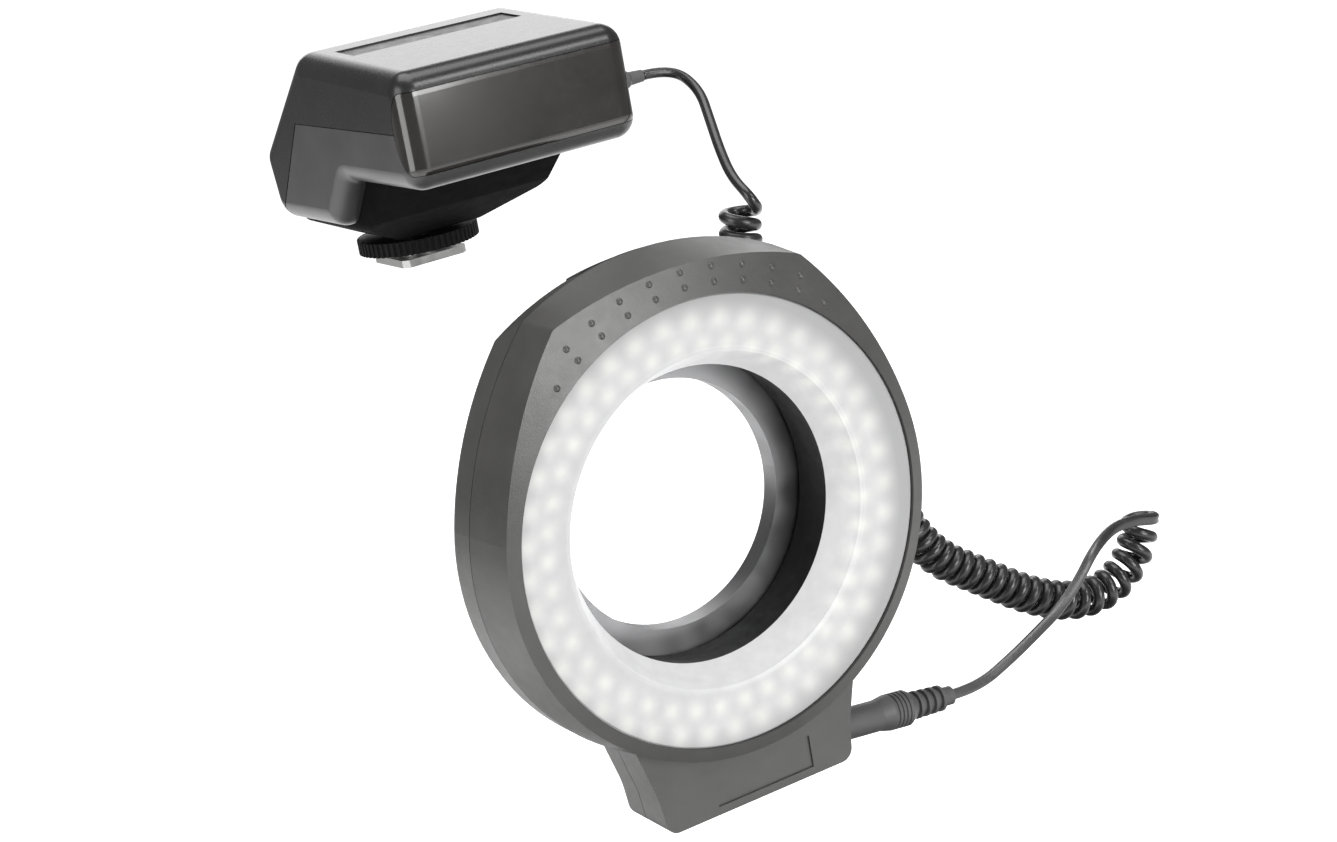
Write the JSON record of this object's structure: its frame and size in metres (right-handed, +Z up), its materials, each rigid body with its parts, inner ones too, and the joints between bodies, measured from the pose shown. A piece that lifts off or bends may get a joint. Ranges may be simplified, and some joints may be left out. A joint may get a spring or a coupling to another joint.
{
  "type": "macro ring light",
  "caption": "Macro ring light: LED ring head with frosted diffuser and latch-on lens adapter, curly cord, and a battery and control unit on a shoe foot",
  "frame": {"origin": "centre of the adapter ring's lens thread", "axes": "+Z up, the lit face looks along -Y, +X is to the right seen from the front"},
  "size_m": [0.2037, 0.1507, 0.1814],
  "materials": {
    "ring_shell": "fine texture, dark grey",
    "frosted": "frosted white, translucent",
    "bore_black": "matt black",
    "anodised": "grey anodised",
    "board": "white solder mask",
    "led": "clear, lit",
    "steel": "plain steel",
    "black_plastic": "satin black",
    "smoked": "smoked gloss",
    "unit_shell": "satin dark grey",
    "cord_pvc": "glossy flexible black",
    "plug_rubber": "satin",
    "nickel": "nickel plated",
    "cell_wrap": "plain wrap",
    "driver_mask": "green solder mask",
    "lamp": "clear red"
  },
  "bodies": {
    "light": {"front_shell": "ring_shell", "rear_shell": "ring_shell", "diffuser": "frosted", "bore_sleeve": "bore_black", "adapter_ring": "anodised", "light_board": "board", "led_inner_row": "led", "led_outer_row": "led", "release_springs": "steel", "ring_screws": "steel", "power_socket": "black_plastic", "plug": "plug_rubber", "plug_tip": "nickel", "plug_boot": "plug_rubber", "cord_coil": "cord_pvc", "cord_lead": "cord_pvc", "cord_tail": "cord_pvc", "upper_casing": "unit_shell", "lower_casing": "unit_shell", "front_panel": "smoked", "top_band": "black_plastic", "door_hinge_pin": "steel", "cells": "cell_wrap", "cell_box": "black_plastic", "cell_contacts": "nickel", "control_plate": "black_plastic", "pilot_lamp": "lamp", "switch_board": "driver_mask", "driver_board": "driver_mask", "unit_screws": "steel", "foot_block": "unit_shell", "shoe_foot": "steel", "lead_boot": "plug_rubber"},
    "release": {"release_button": "black_plastic", "latch_plate": "steel"},
    "door": {"battery_door": "unit_shell", "door_contacts": "nickel"},
    "power": {"power_switch": "black_plastic"},
    "selector": {"half_selector": "black_plastic"},
    "dial": {"brightness_dial": "black_plastic"},
    "washer": {"clamp_washer": "steel"},
    "wheel": {"locking_wheel": "black_plastic"}
  },
  "joints": [
    {"name": "release_slide", "type": "slide", "parent": "light", "child": "release", "axis": [0, 0, -1], "range_m": [0, 0.0015], "stiffness_N_per_m": 900, "springref_m": -0.002, "deforming": ["release_springs"]},
    {"name": "door_hinge", "type": "hinge", "parent": "light", "child": "door", "pos_m": [0.0301, 0.09655, 0.07045], "axis": [0, 1, 0], "range_deg": [0, 90]},
    {"name": "power_slide", "type": "slide", "parent": "light", "child": "power", "axis": [1, 0, 0], "range_m": [0, 0.005]},
    {"name": "selector_slide", "type": "slide", "parent": "light", "child": "selector", "axis": [1, 0, 0], "range_m": [-0.003, 0.003]},
    {"name": "dial_turn", "type": "hinge", "parent": "light", "child": "dial", "pos_m": [0.0125, 0.10958, 0.09573], "axis": [0, 0.619, 0.7854], "range_deg": [0, 270]},
    {"name": "washer_lift", "type": "slide", "parent": "light", "child": "washer", "axis": [0, 0, 1], "range_m": [0, 0.001]},
    {"name": "wheel_turn", "type": "hinge", "parent": "washer", "child": "wheel", "pos_m": [0, 0.10585, 0.0549], "axis": [0, 0, 1], "range_deg": [0, 540]}
  ],
  "couplings": [
    {"joint": "wheel_turn", "follows": "washer_lift", "rad_per_m": 9424.8}
  ]
}
